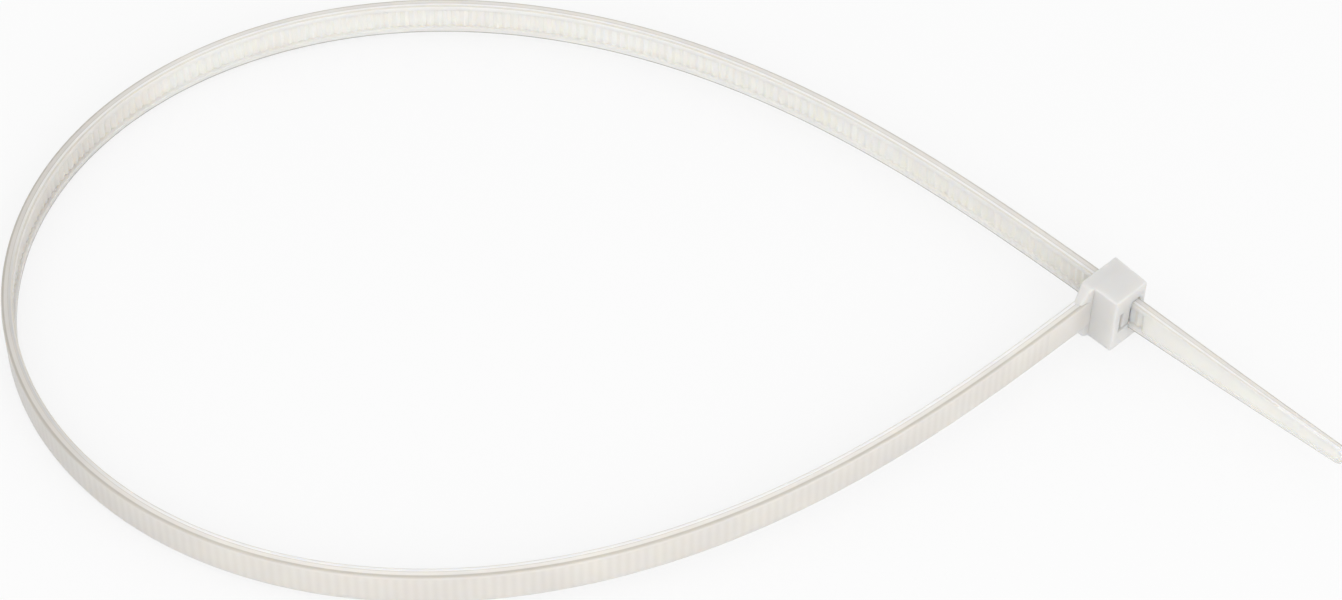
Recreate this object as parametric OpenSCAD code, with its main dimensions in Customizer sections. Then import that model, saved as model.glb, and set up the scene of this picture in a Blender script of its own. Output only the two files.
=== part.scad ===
// One-piece nylon cable tie, closed into a loop and lying on its side.
// The strap stands on its edge. The head is at the origin, the loop runs to -X,
// the arm that passes through the head is on +Y and the arm that grows out of it on -Y.

/* [Length] */
// Length of the whole tie when it is pulled straight, head included
tie_len = 300; // [200:1:380]
// Length of tail past the crossing of the two arms
tail_out = 28.4; // [20:0.1:60]
// Degrees that the free tail turns outwards between the head and its tip
tail_turn = 1.2; // [0:0.1:4]

/* [Strap] */
// Width of the strap
strap_w = 3.6; // [3.2:0.05:4.2]
// Thickness of the strap over its side rails
strap_t = 1.1; // [1:0.05:1.4]
// Width of each side rail beside the toothed track
rail_w = 0.6; // [0.4:0.05:0.8]
// Thickness of the web under the tooth roots
web_t = 0.6; // [0.45:0.05:0.7]
// Bevel on the long edges of the smooth back
back_bevel = 0.25; // [0.1:0.01:0.3]
// Bevel on the outer edges of the rails
rail_bevel = 0.1; // [0.05:0.01:0.15]

/* [Teeth] */
// Distance from tooth to tooth along the strap
tooth_pitch = 0.85; // [0.8:0.01:1.1]
// Depth of the tooth crests under the rails' top
crest_drop = 0.08; // [0.05:0.01:0.15]
// Plain length of strap from the crossing to the first tooth
plain_neck = 9; // [7:0.5:20]
// Length of toothed strap that stands out past the crossing
toothed_tail = 6; // [5:0.5:15]
// Depth of the track where it has no teeth
plain_recess = 0.12; // [0.1:0.01:0.2]

/* [Tail tip] */
// Distance from the crossing to where the tail starts to narrow
taper_start = 2; // [1:0.5:18]
// Width of the tail just before its round tip
tip_w = 1.9; // [1:0.1:2.4]
// Thickness of the tail at its tip
tip_t = 0.75; // [0.7:0.05:0.9]

/* [Loop shape] */
// Share of its bend that the strap loses in the first radius from the far end
bend_fade = 0.195; // [0.16:0.005:0.24]

/* [Head] */
// Width of the head across the strap
head_w = 6.5; // [5.6:0.1:8]
// Depth of the head from its entry face to its exit face
head_t = 4.25; // [4.05:0.05:5.5]
// Height of the entry face over the toothed face of the strap
entry_proud = 0.35; // [0:0.05:0.6]
// Wall beyond the slot, at the head's free end
end_wall = 1.05; // [0.8:0.05:1.6]
// Slope of the free end between the entry and the exit face
end_draft = 0.3; // [0:0.05:0.5]
// Reach of the head from the crossing towards the root arm
root_reach = 2.9; // [2.7:0.1:4]
// Length of the neck over which the strap widens into the head
neck_len = 1.7; // [1.2:0.1:2.5]
// Part of the neck that is as wide as the head
neck_full = 0.4; // [0.2:0.1:0.8]
// Radius of the head's upright corners
corner_r = 0.3; // [0.1:0.05:0.35]
// Radius of the head's long edges
edge_r = 0.3; // [0.1:0.05:0.5]

/* [Slot and pawl] */
// Clearance between the strap's faces and the slot
slot_clear = 0.1; // [0.05:0.01:0.2]
// Clearance between the strap's edges and the slot
side_clear = 0.15; // [0.1:0.01:0.3]
// Funnel at the mouth of the slot
lead_in = 0.25; // [0.1:0.05:0.35]
// Clearance between the pawl and the rails, and between the pawl and its pocket
pawl_side_clear = 0.15; // [0.1:0.01:0.25]
// Clearance between the pawl's teeth and the strap's teeth, along the strap
mesh_gap = 0.08; // [0.05:0.01:0.12]
// Clearance between the pawl's teeth and the strap's teeth, across the strap
mesh_lift = 0.12; // [0.1:0.01:0.2]
// Thickness of the pawl behind its teeth
pawl_t = 0.75; // [0.5:0.05:0.8]
// Thickness of the thin hinge that carries the pawl
hinge_t = 0.35; // [0.25:0.05:0.5]
// Distance from the crossing to the hinge, towards the exit face
hinge_at = 0.55; // [0.4:0.05:0.8]
// Depth of the pocket that the pawl gives way into, behind the slot
pocket_d = 1.5; // [1.4:0.05:1.6]
// Number of teeth on the pawl
pawl_teeth = 2; // [1:1:2]

/* [Hidden] */
nylon = [0.91, 0.9, 0.87];
cut = 0.2;

// Bend of a springy strip whose two ends are held in the head. Lengths here are in
// radii of the far end, x is the distance from the far end and the bend is in radians.
function bend(x, droop) = 1 - bend_fade * x - droop * x * x;
function degrees(arc) = arc * 180 / PI;

// One step of an arm away from the far end, as [x, y, heading, length so far]
function stride(at, step, droop) =
    let (lead = at[2] - degrees(bend(at[0], droop) * step / 2))
    let (half_x = at[0] + cos(at[2]) * step / 2)
    [
        at[0] + cos(lead) * step,
        at[1] + sin(lead) * step,
        at[2] - degrees(bend(half_x, droop) * step),
        at[3] + step
    ];

// Walks one arm until it comes back to the loop's axis, or past a full circle's length
function walk(at, step, droop) =
    let (next = stride(at, step, droop))
    next[1] <= 0 ? stride(at, step * at[1] / (at[1] - next[1]), droop) :
    next[3] > 2 * PI ? next :
    walk(next, step, droop);
far_end = [0, 0, 90, 0];
walk_step = 0.02;

// The rest of the loss of bend, found by halving so that the two arms cross squarely
square_heading = -45;
most_droop = 0.12;
function find_droop(low, high, halvings) =
    let (middle = (low + high) / 2)
    halvings == 0 ? middle :
    walk(far_end, walk_step, middle)[2] < square_heading ? find_droop(middle, high, halvings - 1) :
    find_droop(low, middle, halvings - 1);
droop_halvings = 16;
droop = find_droop(0, most_droop, droop_halvings);
arm_end = walk(far_end, walk_step, droop);

// Real lengths follow from the length of strap that the loop takes
slot_half = strap_t / 2 + slot_clear;
head_end = slot_half + end_wall;
arm_len = (tie_len - head_end - tail_out) / 2;
far_r = arm_len / arm_end[3];
loop_len = far_r * arm_end[0];
exit_angle = arm_end[2];

// Heights across the strap's thickness, with the smooth back on the positive side
back_h = strap_t / 2;
rail_h = -strap_t / 2;
crest_h = rail_h + crest_drop;
root_h = back_h - web_t;
track_half = strap_w / 2 - rail_w;

// The head's own axes: x from the entry face to the exit face, y away from the root arm
entry_x = rail_h - entry_proud;
exit_x = entry_x + head_t;
neck_end = -root_reach - neck_len;

// Places along the strap are counted in tooth pitches from the far end
arm_steps = floor(arm_len / tooth_pitch);
first_step = -floor((arm_len - root_reach) / tooth_pitch);
first_tooth = -floor((arm_len - plain_neck) / tooth_pitch);
last_tooth = floor((arm_len + toothed_tail) / tooth_pitch);
tip_r = tip_w / 2;
last_step = floor((arm_len + tail_out - tip_r) / tooth_pitch);
taper_len = tail_out - tip_r - taper_start;
tip_turns = [30, 60, 80];

arm_places = [
    for (i = 0, at = far_end; i <= arm_steps; at = stride(at, tooth_pitch / far_r, droop), i = i + 1) at
];

// Centre of the strap and its heading, at a distance along it from the far end. It is
// straight through the head, and the tail bends a little after that.
function past_crossing(s) =
    let (straight = min(s - arm_len, exit_x))
    let (bent = s - arm_len - straight)
    let (turn = tail_turn * bent / (tail_out - exit_x))
    [
        straight * cos(exit_angle) + bent * cos(exit_angle + turn / 2),
        straight * sin(exit_angle) + bent * sin(exit_angle + turn / 2),
        exit_angle + turn
    ];
function on_arm(at) = [far_r * at[0] - loop_len, far_r * at[1], at[2]];
function mirrored(p) = [p[0], -p[1], 180 - p[2]];
function place(i) =
    i < 0 ? mirrored(place(-i)) : i <= arm_steps ? on_arm(arm_places[i]) : past_crossing(i * tooth_pitch);

// How far the tail has narrowed at a distance past the crossing, from 0 to 1
function narrowed(s) = min(1, max(0, (s - taper_start) / taper_len));
function width_share(s) = 1 - narrowed(s) * (1 - tip_w / strap_w);
function rail_at(s) = rail_h + narrowed(s) * (strap_t - tip_t);

// One cross-section as points of [height, width]: ten round the outside, two on the floor
// of the track after the tooth's step and two on the floor before it
function section(s, share, after, before) =
    let (top = rail_at(s))
    let (half = strap_w / 2)
    let (outside = [
        [top, track_half],
        [top, half - rail_bevel],
        [top + rail_bevel, half],
        [back_h - back_bevel, half],
        [back_h, half - back_bevel]
    ])
    let (flipped = [for (i = [4:-1:0]) [outside[i][0], -outside[i][1]]])
    let (after_h = top - rail_h + after)
    let (before_h = top - rail_h + before)
    [
        for (p = concat(outside, flipped, [
            [after_h, track_half],
            [after_h, -track_half],
            [before_h, track_half],
            [before_h, -track_half]
        ]))
        [p[0], p[1] * share]
    ];

function ring(at, shape) = [
    for (p = shape) [at[0] - p[0] * sin(at[2]), at[1] + p[0] * cos(at[2]), p[1]]
];

function toothed(i) = i >= first_tooth && i < last_tooth;
plain_h = rail_h + plain_recess;
function floor_after(i) = toothed(i) ? crest_h : plain_h;
function floor_before(i) = toothed(i - 1) ? root_h : plain_h;
function has_step(i) = toothed(i) || toothed(i - 1);

// Rings of points round the loop, one at each tooth, and closer together at the tip
strap_rings = [
    for (i = [first_step:last_step])
        let (s = i * tooth_pitch - arm_len)
        ring(place(i), section(s, width_share(s), floor_after(i), floor_before(i)))
];
tip_start = last_step * tooth_pitch - arm_len;
tip_share = width_share(tip_start);
tip_rings = [
    for (a = tip_turns)
        let (s = tip_start + (tail_out - tip_start) * sin(a))
        ring(past_crossing(arm_len + s), section(s, tip_share * cos(a), plain_h, plain_h))
];
// The root ends a little way inside the head
root_grip = 0.3;
root_ring =
    ring(mirrored(past_crossing(arm_len - root_reach + root_grip)), section(0, 1, plain_h, plain_h));
rings = concat([root_ring], strap_rings, tip_rings);
steps = concat([false], [for (i = [first_step:last_step]) has_step(i)], [for (a = tip_turns) false]);

// Faces between one ring and the next
ring_size = len(rings[0]);
function spot(k, j) = k * ring_size + j;
function skin(k) = [
    for (j = [0:8]) [spot(k, j), spot(k, j + 1), spot(k + 1, j + 1), spot(k + 1, j)]
];
function track_floor(k) = [[spot(k, 11), spot(k, 10), spot(k + 1, 12), spot(k + 1, 13)]];
function track_walls(k) = [
    [spot(k + 1, 11), spot(k + 1, 9), spot(k, 9)],
    [spot(k + 1, 11), spot(k, 9), spot(k, 11)],
    [spot(k + 1, 10), spot(k, 0), spot(k + 1, 0)],
    [spot(k + 1, 10), spot(k, 10), spot(k, 0)]
];
function tooth_step(k) = steps[k + 1] ? [
    [spot(k + 1, 11), spot(k, 11), spot(k + 1, 13)],
    [spot(k + 1, 10), spot(k + 1, 12), spot(k, 10)],
    [spot(k + 1, 13), spot(k + 1, 12), spot(k + 1, 10), spot(k + 1, 11)]
] : [];
// The end of the strap as seen by its tip: one rail, the web and the other rail
cap = [[10, 3, 2, 1, 0], [11, 6, 5, 4, 3, 10], [9, 8, 7, 6, 11]];
start_cap = [for (part = cap) [for (j = part) spot(0, j)]];
end_cap = [for (part = cap) [for (i = [len(part) - 1:-1:0]) spot(len(rings) - 1, part[i])]];
between = [for (k = [0:len(rings) - 2]) each concat(skin(k), track_floor(k), track_walls(k), tooth_step(k))];

module strap() {
    color(nylon)
        polyhedron(
            points = [for (r = rings) each r],
            faces = concat(start_cap, between, end_cap),
            convexity = 10
        );
}

// Arc that rounds the corner b of an outline that goes from a over b to c
corner_steps = 4;
function unit(v) = v / norm(v);
function corner(a, b, c, r) =
    let (to_a = unit(a - b))
    let (to_c = unit(c - b))
    let (half = acos(to_a * to_c) / 2)
    let (middle = b + unit(to_a + to_c) * r / sin(half))
    let (start = b + to_a * r / tan(half) - middle)
    let (side = cross(to_a, to_c) > 0 ? -1 : 1)
    [
        for (i = [0:corner_steps])
            let (t = side * i * (180 - 2 * half) / corner_steps)
            middle + [start[0] * cos(t) - start[1] * sin(t), start[0] * sin(t) + start[1] * cos(t)]
    ];
function rounded(points, r) =
    let (n = len(points))
    [for (i = [0:n - 1]) each corner(points[(i + n - 1) % n], points[i], points[(i + 1) % n], r)];

// Head and neck seen along the strap's width. The neck runs out inside the strap's bevels.
side_outline = [
    [entry_x, head_end],
    [exit_x, head_end - end_draft],
    [exit_x, -root_reach],
    [back_h, -root_reach],
    [back_h - back_bevel, neck_end],
    [rail_h + rail_bevel, neck_end],
    [entry_x, -root_reach]
];
// Head and neck seen through the slot, as [y, z]
front_outline = [
    [head_end, head_w / 2],
    [-root_reach - neck_full, head_w / 2],
    [neck_end, strap_w / 2 - back_bevel],
    [neck_end, back_bevel - strap_w / 2],
    [-root_reach - neck_full, -head_w / 2],
    [head_end, -head_w / 2]
];

module head_block() {
    intersection() {
        translate([0, 0, -head_w / 2])
            linear_extrude(head_w)
                polygon(rounded(side_outline, corner_r));
        translate([entry_x - cut, 0, 0])
            rotate([90, 0, 90])
                linear_extrude(head_t + 2 * cut)
                    polygon(rounded(front_outline, edge_r));
    }
}

module slot() {
    mouth = slot_half + lead_in;
    width = strap_w + 2 * side_clear;
    translate([0, 0, -width / 2])
        linear_extrude(width)
            polygon([
                [entry_x - cut, mouth + cut],
                [entry_x + lead_in, slot_half],
                [exit_x + cut, slot_half],
                [exit_x + cut, -slot_half],
                [entry_x + lead_in, -slot_half],
                [entry_x - cut, -mouth - cut]
            ]);
}

pawl_w = 2 * (track_half - pawl_side_clear);

module pawl_pocket() {
    width = pawl_w + 2 * pawl_side_clear;
    translate([hinge_at, -slot_half - pocket_d, -width / 2])
        cube([exit_x - hinge_at + cut, pocket_d + slot_half, width]);
}

// The pawl hangs from the entry side and its teeth fit between those of the strap
tooth_phase = (arm_steps + 1) * tooth_pitch - arm_len;
pawl_first = tooth_phase + tooth_pitch * ceil((hinge_at + tooth_pitch / 2 - tooth_phase) / tooth_pitch);
pawl_low = crest_h - mesh_lift;
pawl_tip = root_h - mesh_lift;
pawl_end = pawl_first + pawl_teeth * tooth_pitch - mesh_gap;

module pawl() {
    translate([0, 0, -pawl_w / 2])
        linear_extrude(pawl_w)
            polygon(concat(
                [
                    [hinge_at - cut, pawl_low - pawl_t + hinge_t],
                    [pawl_first - mesh_gap - hinge_t, pawl_low - hinge_t],
                    [pawl_first - mesh_gap, pawl_low]
                ],
                [
                    for (i = [1:pawl_teeth]) each [
                        [pawl_first + i * tooth_pitch - mesh_gap, pawl_tip],
                        [pawl_first + i * tooth_pitch - mesh_gap, pawl_low]
                    ]
                ],
                [
                    [pawl_end, pawl_low - pawl_t / 2],
                    [pawl_end - pawl_t / 2, pawl_low - pawl_t],
                    [hinge_at - cut, pawl_low - pawl_t]
                ]
            ));
}

module head() {
    color(nylon)
        union() {
            difference() {
                head_block();
                slot();
                pawl_pocket();
            }
            pawl();
        }
}

// The head lies on its side, and the strap leans down to touch the ground at the far end
lean = atan((head_w - strap_w) / 2 / (loop_len + strap_t / 2));

module cable_tie() {
    translate([0, 0, head_w / 2])
        union() {
            rotate([0, 0, exit_angle])
                head();
            rotate([0, -lean, 0])
                strap();
        }
}

cable_tie();
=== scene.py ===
import math

import bpy
from mathutils import Euler, Matrix, Vector


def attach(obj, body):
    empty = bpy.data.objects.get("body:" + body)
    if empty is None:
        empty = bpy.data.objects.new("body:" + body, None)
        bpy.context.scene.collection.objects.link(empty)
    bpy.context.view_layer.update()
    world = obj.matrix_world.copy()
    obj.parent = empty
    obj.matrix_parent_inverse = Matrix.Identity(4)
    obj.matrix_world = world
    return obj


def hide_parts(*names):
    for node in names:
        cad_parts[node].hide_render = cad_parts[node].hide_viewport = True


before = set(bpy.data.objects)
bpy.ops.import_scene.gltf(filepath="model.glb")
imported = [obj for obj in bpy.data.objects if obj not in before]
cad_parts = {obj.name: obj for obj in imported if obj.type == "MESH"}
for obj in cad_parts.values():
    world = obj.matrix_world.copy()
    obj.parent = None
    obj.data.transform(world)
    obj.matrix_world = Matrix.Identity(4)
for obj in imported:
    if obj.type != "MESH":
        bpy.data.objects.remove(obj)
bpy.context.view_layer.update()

MM = 0.001

# The photograph's view: a long lens that looks down on the loop from the near side
VIEW_AIM = Vector((-40.93, -2.421, 3.25)) * MM
VIEW_DISTANCE = 348.64 * MM
VIEW_AZIMUTH = math.radians(0.4605)
VIEW_ELEVATION = math.radians(47.388)
VIEW_ROLL = math.radians(1.995)
LENS_MM = 100.12
SENSOR_MM = 36.0

# Sizes in metres, as in the CAD source
PITCH = 0.85 * MM
STRAP_W = 3.6 * MM
STRAP_T = 1.1 * MM
BACK_H = STRAP_T / 2
RAIL_H = -STRAP_T / 2
CREST_H = RAIL_H + 0.08 * MM
ROOT_H = BACK_H - 0.6 * MM
MID_H = (CREST_H + ROOT_H) / 2
PLAIN_H = RAIL_H + 0.12 * MM
TRACK_HALF = 1.2 * MM
BACK_BEVEL = 0.25 * MM
RAIL_BEVEL = 0.1 * MM
# Run meant for the steep side of a tooth, which cut_across doesn't reach
STEEP_RUN = 0.03 * MM

# The loop: its radius at the far end, the length of each arm along the strap, its length
# on the ground, and the first and last tooth, counted in pitches from the far end
FAR_R = 34.4753 * MM
ARM_LEN = 134.95 * MM
LOOP_LEN = 102.924 * MM
CROSSING = 2 * ARM_LEN
FIRST_TOOTH = -148
LAST_TOOTH = 165
TOOTH_COUNT = LAST_TOOTH - FIRST_TOOTH
# Loss of bend with the distance from the far end and with its square, in radii
BEND_FADE = 0.195
DROOP = 0.046149
LINE_STEP = 0.01

# Distances from the crossing of the two arms, and the tail's sizes
ROOT_REACH = 2.9 * MM
NECK_LEN = 1.7 * MM
NECK_FULL = 0.4 * MM
TAIL_OUT = 28.4 * MM
TAIL_TURN = math.radians(1.2)
TAPER_START = 2 * MM
TIP_W = 1.9 * MM
TIP_T = 0.75 * MM
TIP_START = TAIL_OUT - TIP_W / 2
TAIL_STEPS = 20
BENT_STEPS = 40
# Places of the cuts round the tip's half circle, in degrees
TIP_TURNS = (20, 40, 55, 70, 80)

# The head in its own axes: X from the entry to the exit face, Y away from the root arm
HEAD_W = 6.5 * MM
ENTRY_X = -0.9 * MM
EXIT_X = 3.35 * MM
HEAD_END = 1.7 * MM
END_DRAFT = 0.3 * MM
HEAD_BEVEL = 0.25 * MM
# How far a cutting tool stands out past the head, and the strap reaches into it
MARGIN = 0.3 * MM
SLOT_HALF = 0.58 * MM
SLOT_W = 3.68 * MM
LEAD_IN = 0.25 * MM
HINGE_AT = 0.55 * MM
POCKET_D = 1.5 * MM
POCKET_W = 2.4 * MM
PAWL_W = 2.32 * MM
PAWL_T = 0.95 * MM
PAWL_END = 3.2 * MM
HINGE_T = 0.35 * MM
PAWL_FIRST = 0.97 * MM
PAWL_LIFT = 0.05 * MM
PAWL_BEVEL = 0.2 * MM
EXIT_ANGLE = math.radians(-45)
LEAN = math.radians(0.802844)

# Points closer than this are welded where the strap meets the head
WELD = 0.002 * MM
SMOOTH_UNDER = math.radians(30)
LAMPS_AIM = Vector((-0.04, 0, 0))
# Place of the head on the UV map, well away from the strap's
HEAD_UV = (-100, 0)


def place_camera():
    data = bpy.data.cameras.new("camera")
    data.lens = LENS_MM
    data.sensor_width = SENSOR_MM
    data.sensor_fit = "HORIZONTAL"
    data.clip_start = 0.01
    camera = bpy.data.objects.new("camera", data)
    bpy.context.scene.collection.objects.link(camera)
    level = Euler((math.pi / 2 - VIEW_ELEVATION, 0, -VIEW_AZIMUTH), "XYZ").to_matrix()
    turn = level @ Euler((0, 0, VIEW_ROLL), "XYZ").to_matrix()
    camera.matrix_world = turn.to_4x4()
    camera.location = VIEW_AIM + turn @ Vector((0, 0, VIEW_DISTANCE))
    bpy.context.scene.camera = camera


def lamp(name, place, size, power):
    data = bpy.data.lights.new(name, "AREA")
    data.size = size
    data.energy = power
    light = bpy.data.objects.new(name, data)
    bpy.context.scene.collection.objects.link(light)
    light.location = place
    light.rotation_euler = (LAMPS_AIM - Vector(place)).to_track_quat("-Z", "Y").to_euler()


# Modelling helpers

def fresh():
    """Object mode with nothing selected, ready for a new primitive."""
    if bpy.context.object and bpy.context.object.mode != "OBJECT":
        bpy.ops.object.mode_set(mode="OBJECT")
    bpy.ops.object.select_all(action="DESELECT")


def block(name, low, high):
    """A cube between two corners, in edit mode with nothing selected."""
    fresh()
    middle = [(a + b) / 2 for a, b in zip(low, high)]
    size = [b - a for a, b in zip(low, high)]
    bpy.ops.mesh.primitive_cube_add(size=1, location=middle, scale=size)
    piece = bpy.context.object
    piece.name = name
    bpy.ops.object.transform_apply(location=True, rotation=True, scale=True)
    bpy.ops.object.mode_set(mode="EDIT")
    bpy.ops.mesh.select_all(action="DESELECT")
    return piece


def pick(kind, test):
    """Selects, in edit mode, the faces, edges or points whose middle and normal pass the test."""
    bpy.ops.mesh.select_mode(type=kind)
    bpy.ops.mesh.select_all(action="DESELECT")
    bpy.ops.object.mode_set(mode="OBJECT")
    mesh = bpy.context.object.data
    points = mesh.vertices
    if kind == "FACE":
        for face in mesh.polygons:
            face.select = test(face.center, face.normal)
    elif kind == "EDGE":
        for edge in mesh.edges:
            a, b = (points[i].co for i in edge.vertices)
            edge.select = test((a + b) / 2, b - a)
    else:
        for point in points:
            point.select = test(point.co, point.normal)
    bpy.ops.object.mode_set(mode="EDIT")


def slide(step):
    bpy.ops.transform.translate(value=step)


def cut_across(place, normal):
    # Open fault: bisect's own threshold leaves out a cut within 0.1 mm of points that exist.
    # So the teeth have no crests and the pawl's two teeth are one.
    bpy.ops.mesh.select_all(action="SELECT")
    bpy.ops.mesh.bisect(plane_co=place, plane_no=normal)


def near(a, b, slack=4e-6):
    """Equal in metres, with room for the rounding that adds up along the row of teeth."""
    return abs(a - b) < slack


def apply_modifier(piece, kind, **settings):
    fresh()
    bpy.context.view_layer.objects.active = piece
    piece.select_set(True)
    modifier = piece.modifiers.new("work", kind)
    for key, value in settings.items():
        setattr(modifier, key, value)
    bpy.ops.object.modifier_apply(modifier=modifier.name)


# The strap

def tooth_cell():
    """One pitch of toothed strap, with a notch half as deep as the solid's tooth."""
    cell = block("strap", (0, RAIL_H, -STRAP_W / 2), (PITCH, BACK_H, STRAP_W / 2))
    step_low = PITCH / 2 - STEEP_RUN
    step_high = PITCH / 2
    for z in (-TRACK_HALF, TRACK_HALF):
        cut_across((0, 0, z), (0, 0, 1))
    for x in (step_low, step_high):
        cut_across((x, 0, 0), (1, 0, 0))
    # The track is sunk between the rails to MID_H, then the notch to ROOT_H. The crest at
    # step_high has no points to move, because its cut is left out.
    pick("FACE", lambda at, normal: normal.y < -0.9 and abs(at.z) < TRACK_HALF)
    bpy.ops.mesh.extrude_region_move(TRANSFORM_OT_translate={"value": (0, MID_H - RAIL_H, 0)})
    pick("VERT", lambda at, normal: near(at.y, MID_H) and near(at.x, step_low))
    slide((0, ROOT_H - MID_H, 0))
    pick("VERT", lambda at, normal: near(at.y, MID_H) and near(at.x, step_high))
    slide((0, CREST_H - MID_H, 0))
    # Open ends, so that the cells join into one skin
    pick("FACE", lambda at, normal: abs(normal.x) > 0.99 and (near(at.x, 0) or near(at.x, PITCH)))
    bpy.ops.mesh.delete(type="FACE")
    # Rounded long edges on the back, small bevels on the rails
    pick("EDGE", lambda at, along: near(at.y, BACK_H) and near(abs(at.z), STRAP_W / 2))
    bpy.ops.mesh.bevel(offset=BACK_BEVEL, segments=2, affect="EDGES")
    pick("EDGE", lambda at, along: near(at.y, RAIL_H) and near(abs(at.z), STRAP_W / 2))
    bpy.ops.mesh.bevel(offset=RAIL_BEVEL, segments=1, affect="EDGES")
    fresh()
    return cell


def bend(x):
    """The strap's bend at a distance from the far end, as a share of its bend there."""
    return 1 - BEND_FADE * x - DROOP * x * x


def elastic_line():
    """Points of one arm from the far end to the crossing, in radii of the far end."""
    x, y, heading = 0, 0, math.pi / 2
    points = [(x, y)]
    while True:
        lead = heading - bend(x) * LINE_STEP / 2
        new_x = x + math.cos(lead) * LINE_STEP
        new_y = y + math.sin(lead) * LINE_STEP
        half_x = x + math.cos(heading) * LINE_STEP / 2
        new_heading = heading - bend(half_x) * LINE_STEP
        if new_y <= 0:
            part = y / (y - new_y)
            points.append((x + (new_x - x) * part, 0))
            return points
        x, y, heading = new_x, new_y, new_heading
        points.append((x, y))


def strap_route():
    """Middle line of the strap from inside the head, round the loop and out to the tip."""
    arm = [(FAR_R * x - LOOP_LEN, FAR_R * y) for x, y in elastic_line()]
    arm[-1] = (0, 0)
    route = [(x, -y) for x, y in reversed(arm)] + arm[1:]
    # Straight through the head, then bending a little outwards
    bent = TAIL_OUT - EXIT_X
    for i in range(BENT_STEPS + 1):
        part = bent * i / BENT_STEPS
        heading = EXIT_ANGLE + TAIL_TURN * part / bent / 2
        route.append((
            EXIT_X * math.cos(EXIT_ANGLE) + part * math.cos(heading),
            EXIT_X * math.sin(EXIT_ANGLE) + part * math.sin(heading),
        ))
    return route


def route_curve():
    data = bpy.data.curves.new("strap_route", "CURVE")
    data.dimensions = "2D"
    data.fill_mode = "NONE"
    points = strap_route()
    spline = data.splines.new("POLY")
    spline.points.add(len(points) - 1)
    for point, (x, y) in zip(spline.points, points):
        point.co = (x, y, 0, 1)
    curve = bpy.data.objects.new("strap_route", data)
    bpy.context.scene.collection.objects.link(curve)
    return curve


def narrowed(past):
    """How far the tail has narrowed at a distance past the crossing, from 0 to 1."""
    return min(1, max(0, (past - TAPER_START) / (TIP_START - TAPER_START)))


def ring_edges(x):
    pick("EDGE", lambda at, along: near(at.x, x) and near(along.x, 0))


def grow_end(old_x, new_x, wide=1, thin=0.0):
    """Extrudes the strap's open end, scales its width and thins it from the track."""
    ring_edges(old_x)
    bpy.ops.mesh.extrude_edges_move(TRANSFORM_OT_translate={"value": (new_x - old_x, 0, 0)})
    narrow_ring(new_x, wide, thin)


def narrow_ring(x, wide, thin):
    if wide != 1:
        pick("VERT", lambda at, normal: near(at.x, x))
        bpy.ops.transform.resize(value=(1, 1, wide), center_override=(x, 0, 0))
    if thin:
        pick("VERT", lambda at, normal: near(at.x, x) and at.y < 0)
        slide((0, thin, 0))


def width_share(past):
    return 1 - narrowed(past) * (1 - TIP_W / STRAP_W)


def half_width(past):
    # The limit of 0.999 keeps the width over zero at the tip
    turn = math.asin(min(0.999, max(0, (past - TIP_START) / (TAIL_OUT - TIP_START))))
    return STRAP_W / 2 * width_share(min(past, TIP_START)) * math.cos(turn)


def thinned(past):
    return narrowed(past) * (STRAP_T - TIP_T)


def straight_strap():
    """The whole strap pulled straight along X, with X = 0 at the crossing at its root."""
    piece = tooth_cell()
    start = ARM_LEN + (FIRST_TOOTH - 0.5) * PITCH
    end = start + TOOTH_COUNT * PITCH
    apply_modifier(piece, "ARRAY", count=TOOTH_COUNT,
                   use_relative_offset=False, use_constant_offset=True,
                   constant_offset_displace=(PITCH, 0, 0),
                   use_merge_vertices=True, merge_threshold=2e-6)
    bpy.ops.object.mode_set(mode="EDIT")
    bpy.ops.mesh.select_all(action="SELECT")
    slide((start, 0, 0))
    for x in (start, end):
        pick("VERT", lambda at, normal: near(at.x, x) and near(at.y, MID_H))
        slide((0, PLAIN_H - MID_H, 0))
    # Plain neck back to the head
    root = ROOT_REACH - MARGIN
    x = start
    while x > root + 2 * PITCH:
        grow_end(x, x - PITCH)
        x -= PITCH
    grow_end(x, root)
    ring_edges(root)
    bpy.ops.mesh.edge_face_add()
    # The teeth that stand out past the crossing narrow with the tail
    bpy.ops.object.mode_set(mode="OBJECT")
    toothed = sorted({round(point.co.x, 7) for point in piece.data.vertices})
    bpy.ops.object.mode_set(mode="EDIT")
    for x in toothed:
        if x > CROSSING + TAPER_START:
            narrow_ring(x, width_share(x - CROSSING), thinned(x - CROSSING))
    # Tail, then its round tip
    past = end - CROSSING
    places = [past + (TIP_START - past) * i / TAIL_STEPS for i in range(1, TAIL_STEPS + 1)]
    shares = [width_share(place) for place in places]
    for turn in TIP_TURNS:
        angle = math.radians(turn)
        places.append(TIP_START + (TAIL_OUT - TIP_START) * math.sin(angle))
        shares.append(width_share(TIP_START) * math.cos(angle))
    share = width_share(past)
    for place, new_share in zip(places, shares):
        thin = thinned(place) - thinned(past)
        grow_end(CROSSING + past, CROSSING + place, new_share / share, thin)
        past, share = place, new_share
    ring_edges(CROSSING + past)
    bpy.ops.mesh.edge_face_add()
    bpy.ops.mesh.select_all(action="SELECT")
    bpy.ops.mesh.normals_make_consistent(inside=False)
    fresh()
    return piece


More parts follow.
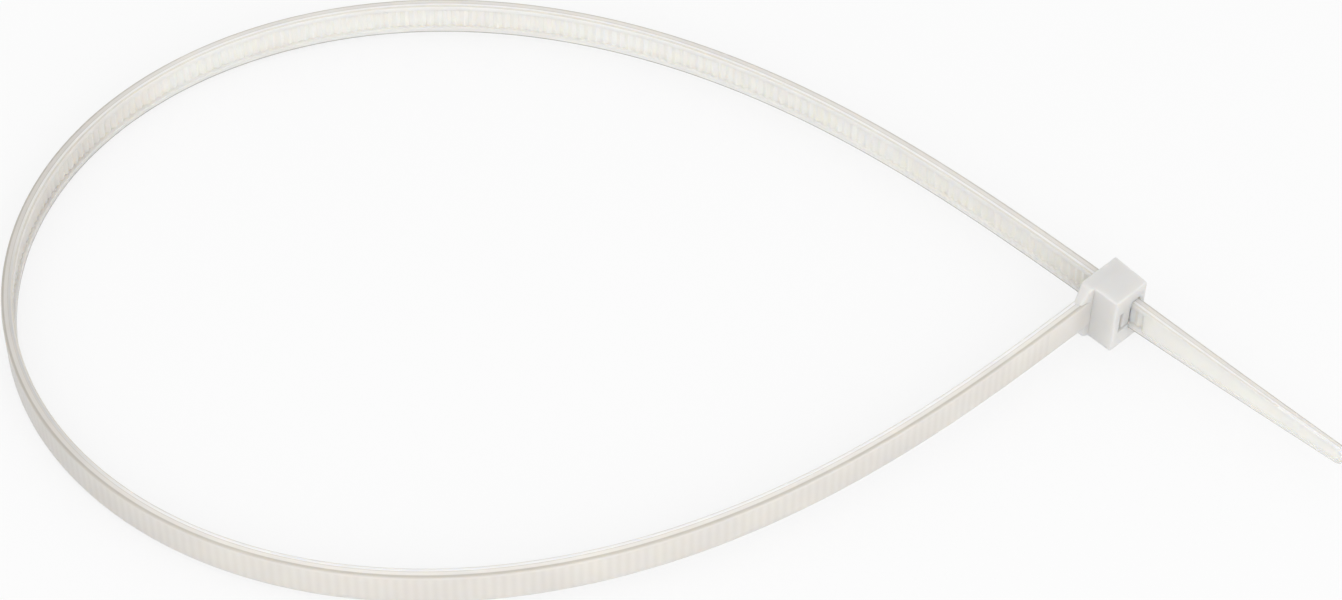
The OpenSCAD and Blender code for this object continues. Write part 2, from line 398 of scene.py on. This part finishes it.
def note_lengths(piece, away=False):
    """A UV map of the place on the strap, with the head away from it. U is millimetres along it.
    V runs round its profile: 0 to 1 from the middle of the back to its edge, 1 to 2 down the
    narrow side, 2.7 to 3 over the lower rail, and 3 on the track and the upper rail."""
    mesh = piece.data
    while mesh.uv_layers:
        mesh.uv_layers.remove(mesh.uv_layers[0])
    layer = mesh.uv_layers.new(name="along_strap")
    rail_starts = TRACK_HALF / (STRAP_W / 2)
    rail_width = 1 - (TRACK_HALF + RAIL_BEVEL) / (STRAP_W / 2)
    for face in mesh.polygons:
        corners = [mesh.vertices[i].co for i in face.vertices]
        in_track = all(abs(at.z) < TRACK_HALF + 0.01 * MM and at.y < 0 for at in corners)
        inside = face.normal.y < -0.8 or in_track
        for loop in face.loop_indices:
            at = mesh.vertices[mesh.loops[loop].vertex_index].co
            past = at.x - CROSSING
            out = abs(at.z) / half_width(past)
            down = (BACK_H - at.y) / (STRAP_T - thinned(past))
            over_rail = 0 if at.z > 0 else (out - rail_starts) / rail_width
            v = 3 - 0.3 * min(1, max(0, over_rail)) if inside else out + down
            layer.data[loop].uv = HEAD_UV if away else (at.x / MM, v)


def strap():
    piece = straight_strap()
    note_lengths(piece)
    route = route_curve()
    apply_modifier(piece, "CURVE", object=route, deform_axis="POS_X")
    bpy.data.objects.remove(route)
    fresh()
    piece.select_set(True)
    bpy.context.view_layer.objects.active = piece
    piece.matrix_world = Matrix.Translation((0, 0, HEAD_W / 2)) @ Matrix.Rotation(-LEAN, 4, "Y")
    bpy.ops.object.transform_apply(location=True, rotation=True, scale=True)
    return piece


# The head

def head_block():
    """The box of the head with its neck, its edges rounded, in the head's own axes."""
    piece = block("head", (ENTRY_X, -ROOT_REACH, -HEAD_W / 2), (EXIT_X, HEAD_END, HEAD_W / 2))
    pick("VERT", lambda at, normal: near(at.x, EXIT_X) and near(at.y, HEAD_END))
    slide((0, -END_DRAFT, 0))
    # The neck grows out of the part of the root side that is in line with the strap
    cut_across((BACK_H, 0, 0), (1, 0, 0))
    part = NECK_FULL / NECK_LEN
    entry_step = RAIL_H + RAIL_BEVEL - ENTRY_X
    pick("FACE", lambda at, normal: normal.y < -0.9 and at.x < BACK_H)
    bpy.ops.mesh.extrude_region_move(TRANSFORM_OT_translate={"value": (0, -NECK_FULL, 0)})
    low = -ROOT_REACH - NECK_FULL
    pick("VERT", lambda at, normal: near(at.y, low) and near(at.x, ENTRY_X))
    slide((entry_step * part, 0, 0))
    pick("VERT", lambda at, normal: near(at.y, low) and near(at.x, BACK_H))
    slide((-BACK_BEVEL * part, 0, 0))
    pick("FACE", lambda at, normal: normal.y < -0.9 and near(at.y, low))
    bpy.ops.mesh.extrude_region_move(TRANSFORM_OT_translate={"value": (0, NECK_FULL - NECK_LEN, 0)})
    neck_share = (STRAP_W - 2 * BACK_BEVEL) / HEAD_W
    bpy.ops.transform.resize(value=(1, 1, neck_share), center_override=(0, 0, 0))
    low = -ROOT_REACH - NECK_LEN
    pick("VERT", lambda at, normal: near(at.y, low) and at.x < -0.2 * MM)
    slide((entry_step * (1 - part), 0, 0))
    pick("VERT", lambda at, normal: near(at.y, low) and at.x > 0.2 * MM)
    slide((-BACK_BEVEL * (1 - part), 0, 0))
    # Moulded corners: every edge but the neck's end and the cuts along Z at the back's height
    pick("EDGE", lambda at, along: at.y > low + 0.05 * MM and not (
        near(at.x, BACK_H) and near(along.y, 0) and abs(at.z) < HEAD_W / 4))
    bpy.ops.mesh.bevel(offset=HEAD_BEVEL, segments=3, affect="EDGES", clamp_overlap=True)
    fresh()
    return piece


def combine(piece, tool, mode):
    apply_modifier(piece, "BOOLEAN", operation=mode, object=tool, solver="EXACT")
    bpy.data.objects.remove(tool)


def slot_tool():
    """The slot right through the head, with its lead-in at the entry face."""
    tool = block("slot", (ENTRY_X - MARGIN, -SLOT_HALF, -SLOT_W / 2),
                 (EXIT_X + MARGIN, SLOT_HALF, SLOT_W / 2))
    cut_across((ENTRY_X + LEAD_IN, 0, 0), (1, 0, 0))
    pick("VERT", lambda at, normal: near(at.x, ENTRY_X - MARGIN))
    flare = (SLOT_HALF + LEAD_IN + MARGIN) / SLOT_HALF
    bpy.ops.transform.resize(value=(1, flare, 1), center_override=(0, 0, 0))
    fresh()
    return tool


def pawl():
    """The pawl on its thin hinge. Its two teeth come out as one flat one, see cut_across."""
    low = CREST_H - PAWL_LIFT
    ends = [PAWL_FIRST + PITCH, PAWL_FIRST + 2 * PITCH]
    tool = block("pawl", (HINGE_AT - 0.2 * MM, low - PAWL_T, -PAWL_W / 2),
                 (PAWL_END, low, PAWL_W / 2))
    steep = [end - STEEP_RUN for end in ends]
    for x in (PAWL_FIRST, steep[0], ends[0], steep[1], ends[1]):
        cut_across((x, 0, 0), (1, 0, 0))
    pick("VERT", lambda at, normal: near(at.y, low) and any(near(at.x, x) for x in steep))
    slide((0, ROOT_H - CREST_H, 0))
    pick("VERT", lambda at, normal: near(at.y, low) and at.x < PAWL_FIRST - 0.1 * MM)
    slide((0, HINGE_T - PAWL_T, 0))
    pick("EDGE", lambda at, along: near(at.y, low - PAWL_T) and near(at.x, PAWL_END))
    bpy.ops.mesh.bevel(offset=PAWL_BEVEL, segments=3, affect="EDGES")
    fresh()
    return tool


def head():
    piece = head_block()
    combine(piece, slot_tool(), "DIFFERENCE")
    pocket = block("pocket", (HINGE_AT, -SLOT_HALF - POCKET_D, -POCKET_W / 2),
                   (EXIT_X + MARGIN, -SLOT_HALF / 2, POCKET_W / 2))
    fresh()
    combine(piece, pocket, "DIFFERENCE")
    combine(piece, pawl(), "UNION")
    fresh()
    piece.select_set(True)
    bpy.context.view_layer.objects.active = piece
    piece.matrix_world = Matrix.Translation((0, 0, HEAD_W / 2)) @ Matrix.Rotation(EXIT_ANGLE, 4, "Z")
    bpy.ops.object.transform_apply(location=True, rotation=True, scale=True)
    return piece


def moulding():
    """Strap and head in one closed skin."""
    piece = head()
    note_lengths(piece, away=True)
    combine(piece, strap(), "UNION")
    piece.name = "cable_tie_moulding"
    bpy.ops.object.mode_set(mode="EDIT")
    bpy.ops.mesh.select_all(action="SELECT")
    bpy.ops.mesh.remove_doubles(threshold=WELD)
    bpy.ops.object.mode_set(mode="OBJECT")
    bpy.ops.object.shade_smooth_by_angle(angle=SMOOTH_UNDER)
    return piece


# Materials

def srgb(hex_colour):
    """Linear red, green, blue and 1 of an sRGB hex colour."""
    out = []
    for i in (0, 2, 4):
        c = int(hex_colour[i:i + 2], 16) / 255
        out.append(c / 12.92 if c <= 0.04045 else ((c + 0.055) / 1.055) ** 2.4)
    return (*out, 1)


def add(tree, kind, settings=None, values=None, links=None):
    """A node with its settings, the values of its sockets and the sockets linked into it."""
    node = tree.nodes.new(kind)
    for key, value in (settings or {}).items():
        setattr(node, key, value)
    for key, value in (values or {}).items():
        node.inputs[key].default_value = value
    for key, source in (links or {}).items():
        tree.links.new(source, node.inputs[key])
    return node


def ramp(tree, source, stops):
    """A colour ramp over the source, with its stops as places and sRGB hex colours."""
    node = add(tree, "ShaderNodeValToRGB", None, None, {"Fac": source})
    elements = node.color_ramp.elements
    while len(elements) < len(stops):
        elements.new(0.5)
    for element, (at, colour) in zip(elements, stops):
        element.position = at
        element.color = srgb(colour)
    return node.outputs["Color"]


def fade(tree, source, low, high, start=0, end=1):
    """A smooth change from start to end while the source goes from low to high."""
    return add(tree, "ShaderNodeMapRange", {"interpolation_type": "SMOOTHSTEP"},
               {"From Min": low, "From Max": high, "To Min": start, "To Max": end},
               {"Value": source}).outputs[0]


def calculated(tree, operation, first, *rest):
    """A Math node over a socket and up to two more sockets or numbers."""
    values = {i: item for i, item in enumerate(rest, 1) if not isinstance(item, bpy.types.NodeSocket)}
    links = {i: item for i, item in enumerate(rest, 1) if isinstance(item, bpy.types.NodeSocket)}
    links[0] = first
    return add(tree, "ShaderNodeMath", {"operation": operation}, values, links).outputs[0]


def mixed(tree, share, under, over, blend="MIX"):
    """A colour over another, by a share. Each colour is a socket or an sRGB hex colour."""
    values, links = {}, {}
    for key, item in ((0, share), (6, under), (7, over)):
        if isinstance(item, bpy.types.NodeSocket):
            links[key] = item
        else:
            values[key] = srgb(item) if isinstance(item, str) else item
    settings = {"data_type": "RGBA", "blend_type": blend}
    return add(tree, "ShaderNodeMix", settings, values, links).outputs[2]


CLOUD_TINTS = [(0.3, "F5F2EE"), (0.7, "FBF8F3")]
# Painted shade and highlight round the profile, at a third of V: the plain back, a painted grey shade
# line on its rounded edge, the narrow side with a thin painted shade line on it, a painted white
# highlight at the rail's outer edge, the lower rail's painted grey shade edge and the plain track
EDGE_SHADE_AND_HIGHLIGHT = [
    (0, "EEEEEE"), (0.29, "EEEEEE"), (0.35, "D4D2CE"), (0.4, "CBC9C5"), (0.43, "F2F2F2"),
    (0.52, "F2F2F2"), (0.535, "D4D2CE"), (0.55, "FFFFFF"), (0.61, "FFFFFF"), (0.63, "E4E2DE"),
    (0.65, "E4E2DE"), (0.9, "94928F"), (0.93, "FFFFFF"),
]
# Millimetres along the strap to the middle of the ejector pin's mark
PIN_AT = 12.8


# Nylon 6/6, injection moulded in its natural milky colour: satin, and light passes into it
def moulded_natural_nylon():
    material = bpy.data.materials.new("nylon_66_moulded_natural")
    material.use_nodes = True
    tree = material.node_tree
    place = add(tree, "ShaderNodeTexCoord").outputs["Object"]
    uv = add(tree, "ShaderNodeUVMap", {"uv_map": "along_strap"}).outputs["UV"]
    split = add(tree, "ShaderNodeSeparateXYZ", None, None, {"Vector": uv}).outputs
    along, profile = split["X"], split["Y"]
    third = calculated(tree, "DIVIDE", profile, 3)

    # Milky clouds where the melt cooled at different speeds, 4 to 8 mm across
    clouds = add(tree, "ShaderNodeTexNoise", None,
                 {"Scale": 180, "Detail": 3, "Roughness": 0.55}, {"Vector": place})
    tint = ramp(tree, clouds.outputs["Fac"], CLOUD_TINTS)
    # Painted shade and highlight on the rounded long edges, where they bend the light away: a grey
    # shade line along each, and a painted white highlight rim between them. Before the loop's far
    # end, where the strap turns fastest, the rim is painted greyer
    edge_shaded = mixed(tree, 1, tint, ramp(tree, third, EDGE_SHADE_AND_HIGHLIGHT), "MULTIPLY")
    to_far_end = fade(tree, along, 90, 118)
    rim_shade = calculated(tree, "MULTIPLY", to_far_end, fade(tree, along, 128, 145, 1, 0))
    past_line = fade(tree, third, 0.54, 0.56)
    rim_highlight = calculated(tree, "MULTIPLY", past_line, fade(tree, third, 0.6, 0.63, 1, 0))
    rim_lit = mixed(tree, rim_highlight, edge_shaded, mixed(tree, rim_shade, "FCFBF9", "DADAD9"))
    # Painted shade: faint darker rungs at the teeth's pitch, where the teeth show faintly through the
    # translucent back
    half_pitch = PITCH / 2 / MM
    rung = fade(tree, calculated(tree, "PINGPONG", along, half_pitch), 0, half_pitch)
    middle = ARM_LEN + (FIRST_TOOTH + LAST_TOOTH - 1) / 2 * PITCH
    toothed = calculated(tree, "COMPARE", along, middle / MM, TOOTH_COUNT * half_pitch)
    rungs = calculated(tree, "MULTIPLY", rung, toothed)
    faint = calculated(tree, "MULTIPLY", rungs, fade(tree, third, 0.24, 0.29, 0.2, 0))
    rung_shaded = mixed(tree, faint, rim_lit, "E4E2DF", "MULTIPLY")
    # Painted shade: the whole strap is darker round the far end
    far_end_shade = calculated(tree, "MULTIPLY", to_far_end, fade(tree, along, 146, 170, 1, 0))
    shaded = mixed(tree, far_end_shade, rung_shaded, "EDEDED", "MULTIPLY")
    # Painted shade: the thick head is greyer than the thin strap, where less light passes through it
    on_head = calculated(tree, "LESS_THAN", along, HEAD_UV[0] / 2)
    colour = mixed(tree, on_head, shaded, "E8E7E5")

    # The mould's fine spark-eroded grain, drawn at 0.15 mm
    grain = add(tree, "ShaderNodeTexNoise", None,
                {"Scale": 7000, "Detail": 2, "Roughness": 0.6}, {"Vector": place}).outputs["Fac"]
    satin = add(tree, "ShaderNodeMapRange", None,
                {"From Min": 0.3, "From Max": 0.7, "To Min": 0.3, "To Max": 0.42}, {"Value": grain})
    # Round mark of the ejector pin, 2 mm across, on the strap near the head
    spot = add(tree, "ShaderNodeCombineXYZ", None, None, {
        "X": calculated(tree, "SUBTRACT", along, PIN_AT),
        "Y": calculated(tree, "MULTIPLY", profile, STRAP_W / 2 / MM),
    })
    reach = add(tree, "ShaderNodeVectorMath", {"operation": "LENGTH"}, None, {0: spot.outputs[0]})
    ring = fade(tree, reach.outputs["Value"], 0.9, 1.05)
    height = calculated(tree, "MULTIPLY_ADD", grain, 0.06, ring)
    bump = add(tree, "ShaderNodeBump", None,
               {"Strength": 0.35, "Distance": 0.06 * MM}, {"Height": height})

    skin = tree.nodes["Principled BSDF"]
    for key, value in {
        "IOR": 1.53,
        "Subsurface Weight": 1,
        "Subsurface Scale": 0.0008,
        "Subsurface Radius": (1, 0.9, 0.75),
        "Transmission Weight": 0.3,
    }.items():
        skin.inputs[key].default_value = value
    tree.links.new(colour, skin.inputs["Base Color"])
    tree.links.new(satin.outputs[0], skin.inputs["Roughness"])
    tree.links.new(bump.outputs["Normal"], skin.inputs["Normal"])
    milk = add(tree, "ShaderNodeVolumeAbsorption", None, {"Color": srgb("F3F0E9"), "Density": 35})
    tree.links.new(milk.outputs["Volume"], tree.nodes["Material Output"].inputs["Volume"])
    return material


# The stage

# Plain white studio ground, which keeps the tie's faint shadow
def floor():
    fresh()
    bpy.ops.mesh.primitive_plane_add(size=4)
    plane = bpy.context.object
    plane.name = "floor"
    material = bpy.data.materials.new("white_paper_ground")
    material.use_nodes = True
    tree = material.node_tree
    paper = tree.nodes["Principled BSDF"]
    paper.inputs["Base Color"].default_value = srgb("F0F0F0")
    paper.inputs["Roughness"].default_value = 1
    paper.inputs["Specular IOR Level"].default_value = 0
    # Where it is seen, straight or through the nylon, most of the ground's white is its own glow
    ray = add(tree, "ShaderNodeLightPath").outputs
    seen = calculated(tree, "MAXIMUM", ray["Is Camera Ray"], ray["Is Glossy Ray"])
    seen = calculated(tree, "MAXIMUM", seen, ray["Is Transmission Ray"])
    share = calculated(tree, "MULTIPLY", seen, 0.8)
    glow = add(tree, "ShaderNodeEmission", None, {"Color": srgb("FAFAFA")})
    mix = add(tree, "ShaderNodeMixShader", None, None,
              {0: share, 1: paper.outputs[0], 2: glow.outputs[0]})
    tree.links.new(mix.outputs[0], tree.nodes["Material Output"].inputs["Surface"])
    plane.data.materials.append(material)


place_camera()
floor()
lamp("key", (0.2, -0.55, 0.35), 0.5, 1.7)
lamp("fill", (-0.5, -0.3, 0.4), 0.5, 0.35)
world = bpy.data.worlds.new("world")
bpy.context.scene.world = world
world.use_nodes = True
background = world.node_tree.nodes["Background"]
background.inputs["Color"].default_value = (1, 1, 1, 1)
background.inputs["Strength"].default_value = 1
bpy.context.scene.view_settings.view_transform = "Standard"

tie = moulding()
tie.data.materials.clear()
tie.data.materials.append(moulded_natural_nylon())
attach(tie, "root")
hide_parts("cable_tie")
